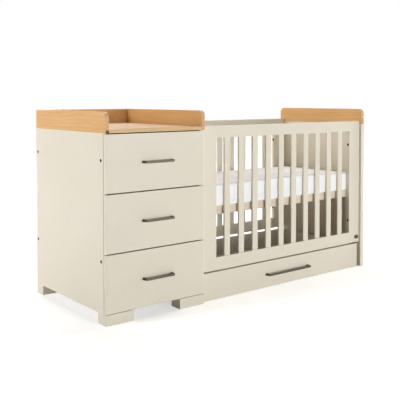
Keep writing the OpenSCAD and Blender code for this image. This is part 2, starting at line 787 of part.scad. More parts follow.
// inset at which a ring no longer follows the drawn-in sides
mattress_draw_end = mattress_w * 0.1;

// one side of a ring: a corner arc, then the points along the straight stretch that follows it
function ring_side(cx, cy, r, a, dx, dy, l, draw) = concat(
    [for (k = [0 : arc_steps - 1])
        let (t = a + 90 * k / arc_steps) [cx + r * cos(t), cy + r * sin(t)]],
    [for (k = [0 : side_steps - 1])
        let (u = k / side_steps, inward = draw * sin(180 * u))
        [cx + r * cos(a + 90) + dx * l * u - dy * inward, cy + r * sin(a + 90) + dy * l * u + dx * inward]]);

// outline of the mattress, drawn in by the inset
function ring(inset) = let (
        r = max(mattress_corner_r - inset, 6),
        x0 = inset + r, x1 = mattress_l - inset - r, y0 = inset + r, y1 = mattress_w - inset - r,
        d = mattress_draw * max(0, 1 - inset / mattress_draw_end))
    concat(ring_side(x1, y1, r, 0, -1, 0, x1 - x0, d), ring_side(x0, y1, r, 90, 0, -1, y1 - y0, d),
           ring_side(x0, y0, r, 180, 1, 0, x1 - x0, d), ring_side(x1, y0, r, 270, 0, 1, y1 - y0, d));

module mattress() {
    n = 4 * (arc_steps + side_steps);
    m = len(mattress_rings);
    middle = [mattress_l / 2, mattress_w / 2];
    points = concat([for (p = mattress_rings) for (q = ring(p[0])) [q[0], q[1], p[1]]],
        [[middle[0], middle[1], 0], [middle[0], middle[1], mattress_t + mattress_crown]]);
    walls = [for (j = [0 : m - 2]) for (k = [0 : n - 1]) let (a = j * n + k, b = j * n + (k + 1) % n)
        each [[a, b, a + n], [b, b + n, a + n]]];
    bottom = [for (k = [0 : n - 1]) [m * n, (k + 1) % n, k]];
    top = [for (k = [0 : n - 1]) [m * n + 1, (m - 1) * n + k, (m - 1) * n + (k + 1) % n]];
    place() color(CLOTH) translate([mattress_x, mattress_y, base_top])
        polyhedron(points, [for (f = concat(walls, bottom, top)) [f[2], f[1], f[0]]]);
}

// ---- long drawer under the crib ----

long_pull_at = [long_x + long_w / 2, case_y, long_front_low + long_front_h / 2];

module long_drawer_front() place() color(PAINT) difference() {
    translate([long_x, case_y, long_front_low]) linear_extrude(long_front_h)
        front_rounded(long_w, long_front_t, front_edge_r);
    translate([long_box_x + long_box_t - groove_d, long_box_y - groove_d, long_floor_z])
        cube([long_box_w - 2 * (long_box_t - groove_d), groove_d + eps, long_floor_t + seat]);
    translate(long_pull_at) pull_bores(long_pull_pitch, long_front_t);
}

module long_drawer_sides() place() color(BOARD) for (s = [0, 1])
    translate([2 * (long_box_x + long_box_w / 2) * s, 0, 0]) mirror([s, 0, 0]) difference() {
        translate([long_box_x, long_box_y, long_box_low]) cube([long_box_t, long_box_d, long_box_h]);
        translate([long_box_x + long_box_t - groove_d, long_box_y - eps, long_floor_z])
            cube([groove_d + eps, long_box_d + 2 * eps, long_floor_t + seat]);
    }

module long_drawer_back() place() color(BOARD)
    translate([long_box_x + long_box_t, long_box_y + long_box_d - long_box_t, long_floor_z + long_floor_t])
        cube([long_box_w - 2 * long_box_t, long_box_t,
              long_box_low + long_box_h - long_floor_z - long_floor_t]);

module long_drawer_floor() place() color(BOARD)
    translate([long_box_x + long_box_t - groove_d + seat, long_box_y - groove_d + seat, long_floor_z])
        cube([long_box_w - 2 * (long_box_t - groove_d + seat), long_box_d + groove_d - seat, long_floor_t]);

module long_drawer_handle() place() color(PEWTER)
    translate(long_pull_at) pull(long_pull_pitch, long_front_t);

// ---- castors ----

module each_castor() for (x = castor_xs) for (y = castor_ys) translate([x, y, 0]) children();

fork_d = 2 * axle_r + 8;

module castor_forks() place() color(STEEL) each_castor() difference() {
    union() {
        translate([-plate_w / 2, -plate_w / 2, long_floor_z - fork_t]) cube([plate_w, plate_w, fork_t]);
        for (x = [-fork_w / 2, fork_w / 2 - fork_t]) {
            translate([x, -fork_d / 2, wheel_r]) cube([fork_t, fork_d, long_floor_z - wheel_r]);
            rod_x([x, 0, wheel_r], fork_d / 2, fork_t);
        }
    }
    rod_x([-fork_w, 0, wheel_r], axle_r + run_fit, 2 * fork_w);
}

module castor_axles() place() color(STEEL) each_castor() {
    rod_x([-fork_w / 2 - 0.5, 0, wheel_r], axle_r, fork_w + 1);
    for (x = [-fork_w / 2 - 2, fork_w / 2 + 0.5]) rod_x([x, 0, wheel_r], axle_r + 1.5, 1.5);
}

module castor_wheel(x, y) place() color(DARK) translate([castor_xs[x], castor_ys[y], wheel_r])
    rotate([0, 90, 0]) rotate_extrude($fn = 64) difference() {
        translate([0, -wheel_w / 2]) square([wheel_r, wheel_w]);
        translate([-1, -wheel_w]) square([axle_r + run_fit + 1, 2 * wheel_w]);
        for (s = [-1, 1]) {
            translate([axle_r + 3.5, s * (wheel_w / 2 + 1) - 3]) square([wheel_r - axle_r - 7, 6]);
            translate([wheel_r - 2, s * (wheel_w / 2 - 1) - 1]) difference() {
                square([3, 2]);
                translate([0, s > 0 ? 0 : 2]) circle(2);
            }
        }
    }

module castor_wheel_front_left() castor_wheel(0, 0);
module castor_wheel_front_right() castor_wheel(1, 0);
module castor_wheel_rear_left() castor_wheel(0, 1);
module castor_wheel_rear_right() castor_wheel(1, 1);

chest_left_side();
chest_right_side();
chest_back();
chest_bottom();
chest_top_rails();
front_feet();
rear_feet();
drawer_slide_channels();
changer_left_side();
changer_right_side();
changer_back();
changer_base();
changer_screws();
crib_front_top_rail();
crib_front_bottom_rail();
crib_front_stiles();
crib_front_slats();
crib_rear_top_rail();
crib_rear_bottom_rail();
crib_rear_stiles();
crib_rear_slats();
end_panel();
end_panel_cap();
wood_dowels();
crib_bolts();
threaded_inserts();
stile_button();
mattress_base_frame();
mattress_base_slats();
mattress_base_brackets();
mattress();
bottom_drawer_front();
bottom_drawer_sides();
bottom_drawer_back();
bottom_drawer_floor();
bottom_drawer_handle();
bottom_drawer_runners();
middle_drawer_front();
middle_drawer_sides();
middle_drawer_back();
middle_drawer_floor();
middle_drawer_handle();
middle_drawer_runners();
top_drawer_front();
top_drawer_sides();
top_drawer_back();
top_drawer_floor();
top_drawer_handle();
top_drawer_runners();
long_drawer_front();
long_drawer_sides();
long_drawer_back();
long_drawer_floor();
long_drawer_handle();
castor_forks();
castor_axles();
castor_wheel_front_left();
castor_wheel_front_right();
castor_wheel_rear_left();
castor_wheel_rear_right();
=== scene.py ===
"""Looks for the crib with its attached changer: the CAD boards get eased edges and procedural
materials, and the mattress is a soft piece of its own. Metres, in the frame of the CAD."""
import json
import math

import bmesh
import bpy
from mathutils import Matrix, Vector, noise
from mathutils.bvhtree import BVHTree
from mathutils.kdtree import KDTree


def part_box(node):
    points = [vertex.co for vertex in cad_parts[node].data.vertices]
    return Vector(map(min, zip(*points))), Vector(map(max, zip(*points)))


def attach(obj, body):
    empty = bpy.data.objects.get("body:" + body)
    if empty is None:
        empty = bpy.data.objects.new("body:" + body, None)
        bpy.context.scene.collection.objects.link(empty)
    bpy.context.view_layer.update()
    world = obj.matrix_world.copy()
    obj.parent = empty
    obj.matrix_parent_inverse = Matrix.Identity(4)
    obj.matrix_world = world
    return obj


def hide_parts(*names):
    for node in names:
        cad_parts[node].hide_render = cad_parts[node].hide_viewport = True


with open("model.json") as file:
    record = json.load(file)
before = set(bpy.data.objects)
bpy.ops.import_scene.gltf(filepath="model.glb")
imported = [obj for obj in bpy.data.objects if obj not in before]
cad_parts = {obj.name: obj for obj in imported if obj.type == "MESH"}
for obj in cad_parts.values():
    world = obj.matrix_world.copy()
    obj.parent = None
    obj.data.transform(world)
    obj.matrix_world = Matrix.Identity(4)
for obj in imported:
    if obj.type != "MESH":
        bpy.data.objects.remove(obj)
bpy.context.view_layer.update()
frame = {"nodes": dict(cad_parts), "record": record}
scene = bpy.context.scene
NODES = frame["nodes"]
BODY = {n: b for b, ns in frame["record"]["behaviour"]["bodies"].items() for n in ns}
SLOT = {s["node"]: s["material_slot"] for s in frame["record"]["subparts"]}

# ---------------------------------------------------------------- camera, from the photograph's perspective
YAW, PITCH = 0.67006, 0.02959      # radians, to the right of +Y and down
CAMERA_AT = (-2.4406, -2.9516, 1.0174)
PICTURE = 400                      # side of the picture in pixels
FOCAL, AXIS_ROW = 684.8, 118.0     # focal length, and the row that the camera's axis passes, in pixels
SENSOR = 36.0

cam_data = bpy.data.cameras.new("camera")
cam_data.sensor_width = SENSOR
cam_data.lens = FOCAL / PICTURE * SENSOR
cam_data.shift_y = (AXIS_ROW - PICTURE / 2) / PICTURE
cam = bpy.data.objects.new("camera", cam_data)
cam.location = CAMERA_AT
cam.rotation_euler = (math.pi / 2 - PITCH, 0, -YAW)
scene.collection.objects.link(cam)
scene.camera = cam

# ---------------------------------------------------------------- lamps and background
scene.view_settings.view_transform = "Standard"
COOL = (0.975, 1.0, 1.06)
LAMPS = {  # watts, place, target, width and height, colour
    "front": (316, (0.5, -7.0, 0.8), (0.2, 0, 0.45), (6.0, 1.6), COOL),
    "left": (272, (-6.5, 1.3, 2.2), (-0.6, 0, 0.5), (1.6, 3.0), COOL),
    "right": (225, (6.5, -1.0, 1.6), (0.3, 0, 0.45), (1.6, 1.6), (1.0, 0.95, 0.92)),
    "back": (160, (0.5, 5.0, 3.4), (0, 0, 0.45), (2.4, 1.4), (1.0, 0.80, 0.78)),
    "top": (84, (1.2, 0.9, 4.0), (0.2, 0, 0.45), (3.9, 1.4), COOL),
}
SKY, SKY_STRENGTH = (1.0, 0.88, 0.78), 0.02
WHITE = (1.0, 1.0, 1.0)


def lamp(name, watts, place, target, size, color):
    """A rectangular lamp that faces its target."""
    data = bpy.data.lights.new(name, "AREA")
    data.energy = watts
    data.color = color
    data.shape = "RECTANGLE"
    data.size, data.size_y = size
    obj = bpy.data.objects.new(name, data)
    obj.location = place
    obj.rotation_euler = (Vector(target) - Vector(place)).to_track_quat("-Z", "Y").to_euler()
    scene.collection.objects.link(obj)


def background(tree, color, strength):
    node = tree.nodes.new("ShaderNodeBackground")
    node.inputs["Color"].default_value = (*color, 1)
    node.inputs["Strength"].default_value = strength
    return node.outputs[0]


def studio():
    """A dim warm sky lights what the lamps don't reach, while the camera and reflections see plain white."""
    world = bpy.data.worlds.new("studio")
    scene.world = world
    world.use_nodes = True
    tree = world.node_tree
    tree.nodes.clear()
    path = tree.nodes.new("ShaderNodeLightPath")
    seen = path.outputs["Is Camera Ray"]
    for ray in ("Is Glossy Ray", "Is Transmission Ray"):
        either = tree.nodes.new("ShaderNodeMath")
        either.operation = "MAXIMUM"
        tree.links.new(seen, either.inputs[0])
        tree.links.new(path.outputs[ray], either.inputs[1])
        seen = either.outputs[0]
    mix = tree.nodes.new("ShaderNodeMixShader")
    tree.links.new(seen, mix.inputs["Fac"])
    tree.links.new(background(tree, SKY, SKY_STRENGTH), mix.inputs[1])
    tree.links.new(background(tree, WHITE, 1.0), mix.inputs[2])
    tree.links.new(mix.outputs[0], tree.nodes.new("ShaderNodeOutputWorld").inputs["Surface"])


for name, values in LAMPS.items():
    lamp(name, *values)
studio()

# ---------------------------------------------------------------- material helpers
NOISE = (0.3, 0.7)                 # nearly all values of a noise texture lie between these


class Mat:
    """A node material with a Principled shader and short ways to add and link nodes. Scales are per metre."""

    def __init__(self, name):
        self.mat = bpy.data.materials.new(name)
        self.mat.use_nodes = True
        self.tree = self.mat.node_tree
        self.tree.nodes.clear()
        self.out = self.add("ShaderNodeOutputMaterial")
        self.bsdf = self.add("ShaderNodeBsdfPrincipled")
        self.link(self.bsdf.outputs[0], self.out.inputs["Surface"])
        self.coords = self.add("ShaderNodeTexCoord").outputs["Object"]

    def add(self, kind, **values):
        node = self.tree.nodes.new(kind)
        for key, value in values.items():
            if key in node.inputs:
                node.inputs[key].default_value = value
            else:
                setattr(node, key, value)
        return node

    def link(self, a, b):
        self.tree.links.new(a, b)

    def set(self, **values):
        """Constant values on the shader's own sockets."""
        for key, value in values.items():
            self.bsdf.inputs[key.replace("_", " ")].default_value = value

    def color(self, value):
        self.link(value, self.bsdf.inputs["Base Color"])

    def roughness(self, value, low, high, between=NOISE):
        self.link(self.span(value, *between, low, high), self.bsdf.inputs["Roughness"])

    def mapped(self, scale, location=(0, 0, 0), vector=None):
        node = self.add("ShaderNodeMapping", Scale=scale, Location=location)
        self.link(vector or self.coords, node.inputs["Vector"])
        return node.outputs[0]

    def noise(self, scale, detail=2.0, rough=0.5, vector=None, output="Fac"):
        node = self.add("ShaderNodeTexNoise", Scale=scale, Detail=detail, Roughness=rough)
        self.link(vector or self.coords, node.inputs["Vector"])
        return node.outputs[output]

    def ramp(self, value, stops):
        node = self.add("ShaderNodeValToRGB")
        elements = node.color_ramp.elements
        while len(elements) < len(stops):
            elements.new(0.5)
        for element, (at, color) in zip(elements, stops):
            element.position = at
            element.color = (*color, 1)
        self.link(value, node.inputs["Fac"])
        return node.outputs["Color"]

    def span(self, value, low, high, to_low=0.0, to_high=1.0):
        node = self.add("ShaderNodeMapRange")
        node.inputs["From Min"].default_value, node.inputs["From Max"].default_value = low, high
        node.inputs["To Min"].default_value, node.inputs["To Max"].default_value = to_low, to_high
        self.link(value, node.inputs["Value"])
        return node.outputs["Result"]

    def mix(self, fac, a, b, blend="MIX"):
        node = self.add("ShaderNodeMix", data_type="RGBA", blend_type=blend)
        for socket, value in ((node.inputs[0], fac), (node.inputs[6], a), (node.inputs[7], b)):
            if isinstance(value, bpy.types.NodeSocket):
                self.link(value, socket)
            else:
                socket.default_value = (*value, 1) if isinstance(value, tuple) else value
        return node.outputs[2]

    def math(self, operation, a, b=0.0):
        node = self.add("ShaderNodeMath", operation=operation)
        for socket, value in zip(node.inputs, (a, b)):
            if isinstance(value, bpy.types.NodeSocket):
                self.link(value, socket)
            else:
                socket.default_value = value
        return node.outputs[0]

    def bump(self, height, distance, strength):
        node = self.add("ShaderNodeBump", Distance=distance, Strength=strength)
        self.link(height, node.inputs["Height"])
        self.link(node.outputs[0], self.bsdf.inputs["Normal"])


def srgb(r, g, b):
    """Linear colour from the values, 11 to 255, that it has on a screen."""
    return tuple(((c / 255 + 0.055) / 1.055) ** 2.4 for c in (r, g, b))


# ---------------------------------------------------------------- materials
def painted():
    """Satin lacquer on smooth board: slight orange peel, and faint cloudiness of the colour."""
    m = Mat("paint")
    cloud = m.span(m.noise(2.3, 3.0, 0.55), *NOISE)
    fine = m.span(m.noise(46.0), 0.35, 0.65, 0.0, 0.25)
    m.color(m.mix(fine, m.mix(cloud, srgb(223, 215, 194), srgb(226, 218, 198)), srgb(221, 212, 190)))
    m.roughness(m.noise(90.0, 3.0), 0.36, 0.48)
    m.bump(m.noise(420.0, 2.0, 0.4), 0.00012, 0.35)
    m.set(Specular_IOR_Level=0.42)
    return m.mat


RING_SHARE, STREAK_SHARE, FIBRE_SHARE = 0.12, 0.62, 0.24
END_GRAIN = (0.92, 0.93, 1.12)     # the ends of a board are a little greyer and darker


def grained(name, axis, seed, tones, pore, figure=1.0, rough=0.45):
    """Wood whose grain runs along an axis (0, 1 or 2): growth rings, fibres and open pores at their real
    size. Tones are light, middle and dark; pore and figure say how strongly pores and rings show."""
    m = Mat(name)
    light, middle, dark = (srgb(*tone) for tone in tones)

    def stretched(along, across, vector=None):
        scale = [across] * 3
        scale[axis] = along
        return m.mapped(scale, seed, vector)

    wander = m.add("ShaderNodeVectorMath", operation="SCALE")
    m.link(m.noise(1.0, vector=stretched(1.6, 5.0), output="Color"), wander.inputs[0])
    wander.inputs["Scale"].default_value = 0.05 * figure
    moved = m.add("ShaderNodeVectorMath", operation="ADD")
    m.link(m.coords, moved.inputs[0])
    m.link(wander.outputs[0], moved.inputs[1])
    rings = m.add("ShaderNodeTexWave", Scale=1.0, Distortion=1.2, Detail=2.0, wave_type="RINGS",
                  rings_direction="XYZ"[axis])
    rings.inputs["Detail Scale"].default_value = 1.4
    m.link(stretched(1.2, 24.0, moved.outputs[0]), rings.inputs["Vector"])
    streaks = m.noise(1.0, 4.0, 0.55, stretched(3.0, 52.0))
    fibres = m.noise(1.0, 3.0, 0.6, stretched(14.0, 420.0))
    pores = m.span(m.noise(1.0, vector=stretched(70.0, 1500.0)), 0.60, 0.72, 0.0, pore)
    tone = m.math("ADD", m.math("MULTIPLY", rings.outputs["Fac"], RING_SHARE * figure),
                  m.math("ADD", m.math("MULTIPLY", streaks, STREAK_SHARE),
                         m.math("MULTIPLY", fibres, FIBRE_SHARE)))
    wood = m.ramp(tone, [(0.20, light), (0.50, middle), (0.95, dark)])
    sawn = m.mix(pores, wood, tuple(c * 0.6 for c in dark))
    facing = m.add("ShaderNodeSeparateXYZ")
    m.link(m.add("ShaderNodeNewGeometry").outputs["Normal"], facing.inputs[0])
    end = m.span(m.math("ABSOLUTE", facing.outputs[axis]), 0.5, 0.8)
    m.color(m.mix(end, sawn, m.mix(1.0, sawn, END_GRAIN, "MULTIPLY")))
    m.roughness(fibres, rough - 0.06, rough + 0.08)
    m.bump(m.math("SUBTRACT", m.math("MULTIPLY", fibres, 0.35), pores), 0.0002, 0.5)
    m.set(Specular_IOR_Level=0.4)
    return m.mat


OAK_TONES = ((229, 185, 127), (217, 168, 106), (195, 141, 81))
BACK_TONES = ((238, 194, 137), (226, 177, 115), (203, 149, 88))
BASE_TONES = ((224, 189, 139), (211, 175, 125), (194, 155, 105))
PINE_TONES = ((227, 214, 193), (217, 202, 179), (198, 178, 151))
OAK_PORE, PINE_PORE, BEECH_PORE = 0.35, 0.12, 0.2


def metal(name, tone, rough, stretch=(60.0, 60.0, 60.0), contrast=0.12):
    """Metal with fine brushing or casting marks in its colour and roughness."""
    m = Mat(name)
    marks = m.noise(1.0, 3.0, 0.6, m.mapped(stretch))
    low, high = (tuple(c * factor for c in srgb(*tone)) for factor in (1 - contrast, 1 + contrast))
    m.color(m.mix(m.span(marks, *NOISE), low, high))
    m.roughness(marks, rough - 0.07, rough + 0.09)
    m.bump(marks, 0.00005, 0.4)
    m.set(Metallic=1.0)
    return m.mat


def coated():
    """Pale foil on board, with a faint linen texture."""
    m = Mat("coated_board")
    weave = m.noise(1.0, vector=m.mapped((900.0, 120.0, 900.0)))
    m.color(m.mix(m.span(m.noise(5.0, 3.0), *NOISE), srgb(226, 221, 210), srgb(234, 230, 220)))
    m.roughness(weave, 0.48, 0.6)
    m.bump(weave, 0.00006, 0.4)
    return m.mat


def chipboard_painted_shade():
    """Flakes of several browns pressed into a bare board, far darker than such board really is: painted shade
    for the gap under the changer tray.
    """
    m = Mat("chipboard_painted_shade")
    flakes = m.add("ShaderNodeTexVoronoi", Scale=1.0, Randomness=1.0)
    m.link(m.mapped((260.0, 520.0, 700.0)), flakes.inputs["Vector"])
    tone = m.add("ShaderNodeSeparateColor")
    m.link(flakes.outputs["Color"], tone.inputs[0])
    # these browns are painted shade, far darker than the bare board really is
    m.color(m.ramp(tone.outputs[0], [(0.0, srgb(62, 47, 32)), (0.55, srgb(86, 67, 47)),
                                     (1.0, srgb(112, 91, 67))]))
    m.bump(m.noise(900.0, 3.0, 0.6), 0.0002, 0.6)
    m.set(Roughness=0.85, Specular_IOR_Level=0.2)
    return m.mat


def plastic():
    """Black moulded plastic with a fine grain."""
    m = Mat("castor_plastic")
    grain = m.noise(260.0, 3.0, 0.6)
    m.color(m.mix(m.span(grain, *NOISE), (0.022, 0.022, 0.023), (0.035, 0.035, 0.036)))
    m.roughness(grain, 0.42, 0.6)
    m.bump(grain, 0.00008, 0.5)
    return m.mat


STITCHES = (2300.0, 1900.0, 2100.0)  # radians per metre: two diagonals seen from above, and upright


def knitted(name, low, high):
    """Double-knit cloth between two colours: small stitches in rows, a soft sheen and faint cloudiness."""
    m = Mat(name)
    split = m.add("ShaderNodeSeparateXYZ")
    m.link(m.coords, split.inputs[0])
    x, y, z = split.outputs
    runs = (m.math("ADD", x, y), m.math("SUBTRACT", x, y), z)
    one, other, upright = (m.math("SINE", m.math("MULTIPLY", run, rate)) for run, rate in zip(runs, STITCHES))
    stitch = m.math("ADD", m.math("MULTIPLY", one, other), m.math("MULTIPLY", upright, 0.5))
    m.color(m.mix(m.span(m.noise(14.0, 4.0, 0.6), *NOISE), srgb(*low), srgb(*high)))
    m.roughness(stitch, 0.78, 0.9, (-1.0, 1.0))
    m.bump(m.math("ADD", m.math("MULTIPLY", stitch, 0.35), m.noise(700.0, 3.0, 0.6)), 0.00025, 0.5)
    m.set(Sheen_Weight=0.25, Sheen_Roughness=0.5, Specular_IOR_Level=0.2)
    return m.mat


PAINT = painted()
COATED = coated()
PLASTIC = plastic()
CHIPBOARD_IN_PAINTED_SHADE = chipboard_painted_shade()
KNIT = knitted("cover_cloth", (248, 248, 246), (252, 252, 250))
# the piping's cloth is greyer than the cover's: painted shade for the shadow line along each seam
CORD_IN_PAINTED_SHADE = knitted("cord_cloth_painted_shade", (216, 213, 208), (224, 221, 216))
ZINC = metal("zinc", (190, 192, 195), 0.36)
PEWTER = metal("pewter", (86, 80, 70), 0.46, (18.0, 260.0, 260.0), 0.10)
# near-black metal for the threaded inserts and bolt heads: a black oxide finish, and also painted shade for
# the holes they sit in
BLACK_OXIDE_AND_SHADE = metal("black_oxide_and_painted_shade", (34, 30, 26), 0.50)
NODE_FINISH = {
    # the chest's top rails show only in the gap under the changer tray; their dark flake board is painted
    # shade there
    "chest_top_rails": CHIPBOARD_IN_PAINTED_SHADE,
    "changer_left_side": grained("oak_left", 1, (0.3, 0.1, 0.7), OAK_TONES, OAK_PORE),
    "changer_right_side": grained("oak_right", 1, (1.3, 0.6, 0.2), OAK_TONES, OAK_PORE),
    "changer_back": grained("oak_back", 0, (0.8, 1.4, 0.5), BACK_TONES, OAK_PORE),
    "changer_base": grained("oak_base", 0, (0.1, 0.9, 1.1), BASE_TONES, OAK_PORE),
    "end_panel_cap": grained("oak_cap", 1, (2.1, 0.4, 0.9), OAK_TONES, OAK_PORE),
    "mattress_base_frame": grained("pine_frame", 0, (0.2, 0.5, 0.3), PINE_TONES, PINE_PORE, 0.8, 0.55),
    "mattress_base_slats": grained("pine_slats", 1, (0.9, 0.2, 0.6), PINE_TONES, PINE_PORE, 0.8, 0.55),
    "wood_dowels": grained("beech_dowels", 0, (0.4, 0.4, 0.4), PINE_TONES, BEECH_PORE, 0.6, 0.6),
}
# the black steel parts get that near-black metal, partly painted shade for the holes of the inserts and bolt
# heads
SLOT_FINISH = {
    "painted_board": PAINT, "raw_board": COATED, "zinc_steel": ZINC, "black_steel": BLACK_OXIDE_AND_SHADE,
    "dark_pewter": PEWTER, "castor_tread": PLASTIC, "mattress_cloth": KNIT,
}


def finish_of(node):
    return NODE_FINISH.get(node) or SLOT_FINISH[SLOT[node]]


def wear(obj, material):
    obj.data.materials.clear()
    obj.data.materials.append(material)


for name, obj in NODES.items():
    for material_slot in obj.material_slots:
        material_slot.material = finish_of(name)

# ---------------------------------------------------------------- boards with eased edges
rail_lo, rail_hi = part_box("crib_front_top_rail")
joint_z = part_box("end_panel_cap")[0].z
foot_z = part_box("front_feet")[1].z
# planes (axis, place) where a painted or glued joint is flush, so its edges stay sharp
FRAME_JOINTS = [(0, rail_lo.x), (0, rail_hi.x)]
FLUSH = {f"crib_{side}_{part}": FRAME_JOINTS for side in ("front", "rear")
         for part in ("top_rail", "bottom_rail", "stiles")}
FLUSH |= {name: [(2, joint_z)] for name in ("end_panel", "end_panel_cap", "changer_left_side",
                                            "changer_right_side")}
FLUSH |= {name: [(2, foot_z), (2, joint_z)] for name in ("chest_left_side", "chest_right_side")}
FLUSH |= {name: [(2, foot_z)] for name in ("front_feet", "rear_feet")}
ON_PLANE = 2e-4                    # an edge this close to a plane lies on it
WELD = 2e-6                        # vertices this close are one
FLAT = math.radians(0.6)           # edges flatter than this only divide a flat face
SHARP = math.radians(50)           # edges sharper than this are eased
CREASE = math.radians(48)          # shading breaks at edges sharper than this
HOLE = 0.03                        # a run of edges within this size is the rim of a hole
EASE_SEGMENTS = 3
EASE = {                           # radius: nodes
    0.0012: ["chest_left_side", "chest_right_side", "end_panel", "mattress_base_slats",
             "bottom_drawer_front", "middle_drawer_front", "top_drawer_front", "long_drawer_front"],
    0.002: ["front_feet", "rear_feet", "changer_base", "mattress_base_frame", "crib_front_bottom_rail",
            "crib_rear_bottom_rail"],
    0.0035: ["changer_left_side", "changer_right_side", "changer_back", "end_panel_cap",
             "crib_front_top_rail", "crib_rear_top_rail", "crib_front_stiles", "crib_rear_stiles"],
    0.0014: ["bottom_drawer_handle", "middle_drawer_handle", "top_drawer_handle", "long_drawer_handle",
             "stile_button"],
}


def is_flush(edge, planes):
    return any(all(abs(v.co[axis] - at) < ON_PLANE for v in edge.verts) for axis, at in planes)


def runs_of(edges):
    """The edges sorted into runs that meet at their ends."""
    left = set(edges)
    while left:
        stack, run = [left.pop()], []
        while stack:
            edge = stack.pop()
            run.append(edge)
            for other in (e for v in edge.verts for e in v.link_edges):
                if other in left:
                    left.discard(other)
                    stack.append(other)
        yield run


def size_of(run):
    points = [v.co for e in run for v in e.verts]
    return max(max(p[i] for p in points) - min(p[i] for p in points) for i in range(3))


def eased(node, radius):
    """A copy of a CAD node whose sharp edges are rounded, apart from the rims of small holes and the edges
    that meet another board flush."""
    bm = bmesh.new()
    bm.from_mesh(NODES[node].data)
    bmesh.ops.remove_doubles(bm, verts=bm.verts, dist=WELD)
    bmesh.ops.dissolve_limit(bm, angle_limit=FLAT, verts=bm.verts, edges=bm.edges)
    sharp = [e for e in bm.edges if len(e.link_faces) == 2 and e.calc_face_angle(0.0) > SHARP
             and not is_flush(e, FLUSH.get(node, ()))]
    chosen = [e for run in runs_of(sharp) if size_of(run) > HOLE for e in run]
    chosen.sort(key=lambda e: e.index)
    bmesh.ops.bevel(bm, geom=chosen, offset=radius, segments=EASE_SEGMENTS, profile=0.5, affect="EDGES",
                    clamp_overlap=True)
    mesh = bpy.data.meshes.new(node + "_eased")
    bm.to_mesh(mesh)
    bm.free()
    obj = bpy.data.objects.new(node + "_eased", mesh)
    scene.collection.objects.link(obj)
    for p in mesh.polygons:
        p.use_smooth = True
    mesh.set_sharp_from_angle(angle=CREASE)
    obj.modifiers.new("normals", "WEIGHTED_NORMAL").keep_sharp = True
    wear(obj, finish_of(node))
    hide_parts(node)
    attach(obj, BODY[node])


for radius, names in EASE.items():
    for node in names:
        eased(node, radius)

# ---------------------------------------------------------------- mattress
MAT_LO, MAT_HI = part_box("mattress")
MAT_MID = (MAT_LO + MAT_HI) / 2
MAT_EDGE = 0.002                   # the seams start this far inside the CAD solid
MAT_CORNER = 0.036                 # radius of the corners seen from above
CORNER_STEPS = 9
MAT_LOW = MAT_LO.z + 0.0006        # underside
LOW_SEAM = MAT_LOW + 0.006
MAT_TOP = MAT_LO.z + 0.088         # upper seam, before its front is pushed up
MAT_CROWN = MAT_HI.z - MAT_TOP - 0.007
RING_STEP, SEAM_STEP, PIPING_STEP = 0.03, 0.01, 0.012
VOXEL, QUICK_VOXEL = 0.006, 0.012
# outlines (inset, height) from the middle of the underside to the middle of the top; None is on the crown
PROFILE = [(inset, MAT_LOW + up) for inset, up in ((0.22, 0), (0.012, 0), (0.004, 0.003), (0.0, 0.010),
                                                   (0.0, 0.045))]
PROFILE += [(0.0, MAT_TOP - 0.004), (0.002, MAT_TOP)]
PROFILE += [(inset, None) for inset in (0.012, 0.04, 0.08, 0.14, 0.22)]

SWELL_FRAMES = 20
BULGE = 0.006                      # limit of the movement in the simulation
LOOSE = 0.03                       # a seam holds the cover up to this far from it
LYING = 0.1                        # share of its movement that the underside keeps
UNEVEN_UP, UNEVEN_OUT = 0.0011, 0.0010

SLAT_Y, STILE_Y = (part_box("crib_front_" + part)[1].y for part in ("slats", "stiles"))
SAME_SLAT = 0.001                  # faces that come this close along X are of one slat
PUFF = 0.007                       # how far the cover may swell out between two slats
STILE_WAY = 0.03                   # length along X from behind a stile to the slats
PRESSED = 0.3                      # depth of the front part that is pushed forward and up
RISE_ENDS, RISE_MORE = 0.004, 0.0225      # rise of the whole front edge, and the rest of it at its highest
RISE_START = 0.14                         # share of its half wave that lies left of the mattress
RISE_FROM, RISE_OVER = 0.02, 0.068        # the rise begins this far over the underside, and grows over this
COVER_CLEAR, CORD_CLEAR = 0.0015, 0.0032  # from the slats to the cover, and to the middle of the piping
CORD_RADIUS, CORD_OUT = 0.003, 0.0005     # the middle of the piping lies this far outside the cover
OVER_BASE, OVER_TOP = 0.0004, 0.012       # least height over the CAD underside, and most over the CAD top


def share(value):
    return min(1.0, max(0.0, value))


def mattress_outline(inset, step):
    """Points round the rounded rectangle of the mattress, at most a step apart on its straight sides."""
    half = Vector((MAT_HI.x - MAT_LO.x, MAT_HI.y - MAT_LO.y)) / 2 - Vector((MAT_EDGE + inset,) * 2)
    r = max(MAT_CORNER - inset, 0.010)

    def on_corner(signs, degrees):
        t = math.radians(degrees)
        return Vector([sign * (reach - r) for sign, reach in zip(signs, half)]) \
            + r * Vector((math.cos(t), math.sin(t)))

    corners = ((1, 1), (-1, 1), (-1, -1), (1, -1))
    points = []
    for quarter, signs in enumerate(corners):
        points += [on_corner(signs, 90 * quarter + 90 * k / CORNER_STEPS) for k in range(CORNER_STEPS)]
        start, end = (on_corner(corners[(quarter + k) % 4], 90 * quarter + 90) for k in (0, 1))
        pieces = math.ceil((MAT_HI - MAT_LO)[quarter % 2] / step)
        points += [start.lerp(end, k / pieces) for k in range(pieces)]
    return [(MAT_MID.x + p.x, MAT_MID.y + p.y) for p in points]


def crown(x, y):
    """Height of the top panel of the mattress."""
    fx = min(1, abs(x - MAT_MID.x) / (MAT_HI.x - MAT_MID.x))
    fy = min(1, abs(y - MAT_MID.y) / (MAT_HI.y - MAT_MID.y))
    return MAT_TOP + MAT_CROWN * (1 - fx ** 6) * (1 - fy ** 3)


